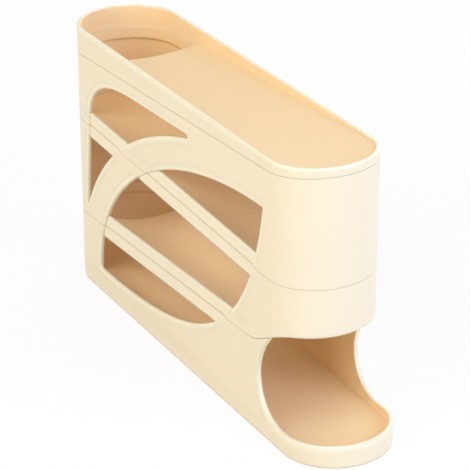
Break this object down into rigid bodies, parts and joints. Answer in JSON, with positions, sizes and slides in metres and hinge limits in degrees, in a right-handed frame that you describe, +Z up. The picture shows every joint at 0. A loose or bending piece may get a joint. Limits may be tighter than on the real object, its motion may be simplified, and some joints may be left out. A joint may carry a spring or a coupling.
{
  "type": "rolling egg dispenser",
  "caption": "Stacked egg rack whose sloping troughs hand eggs from tier to tier, down to an open tray at the front.",
  "frame": {"origin": "centre of the footprint, on the surface that the base stands on", "axes": "+X along the body towards the front tray, +Y across it, +Z up"},
  "size_m": [0.378, 0.08, 0.2062],
  "materials": {
    "base_tier_plastic": "satin moulded cream plastic",
    "lower_tier_plastic": "satin moulded cream plastic",
    "upper_tier_plastic": "satin moulded cream plastic",
    "top_tray_plastic": "satin moulded cream plastic"
  },
  "bodies": {
    "base": {"base_tier": "base_tier_plastic"},
    "lower": {"lower_tier": "lower_tier_plastic"},
    "upper": {"upper_tier": "upper_tier_plastic"},
    "tray": {"top_tray": "top_tray_plastic"}
  },
  "joints": [
    {"name": "lower_tier_lift", "type": "slide", "parent": "base", "child": "lower", "axis": [0, 0, 1], "range_m": [0, 0.06]},
    {"name": "upper_tier_lift", "type": "slide", "parent": "lower", "child": "upper", "axis": [0, 0, 1], "range_m": [0, 0.06]},
    {"name": "top_tray_lift", "type": "slide", "parent": "upper", "child": "tray", "axis": [0, 0, 1], "range_m": [0, 0.06]}
  ]
}
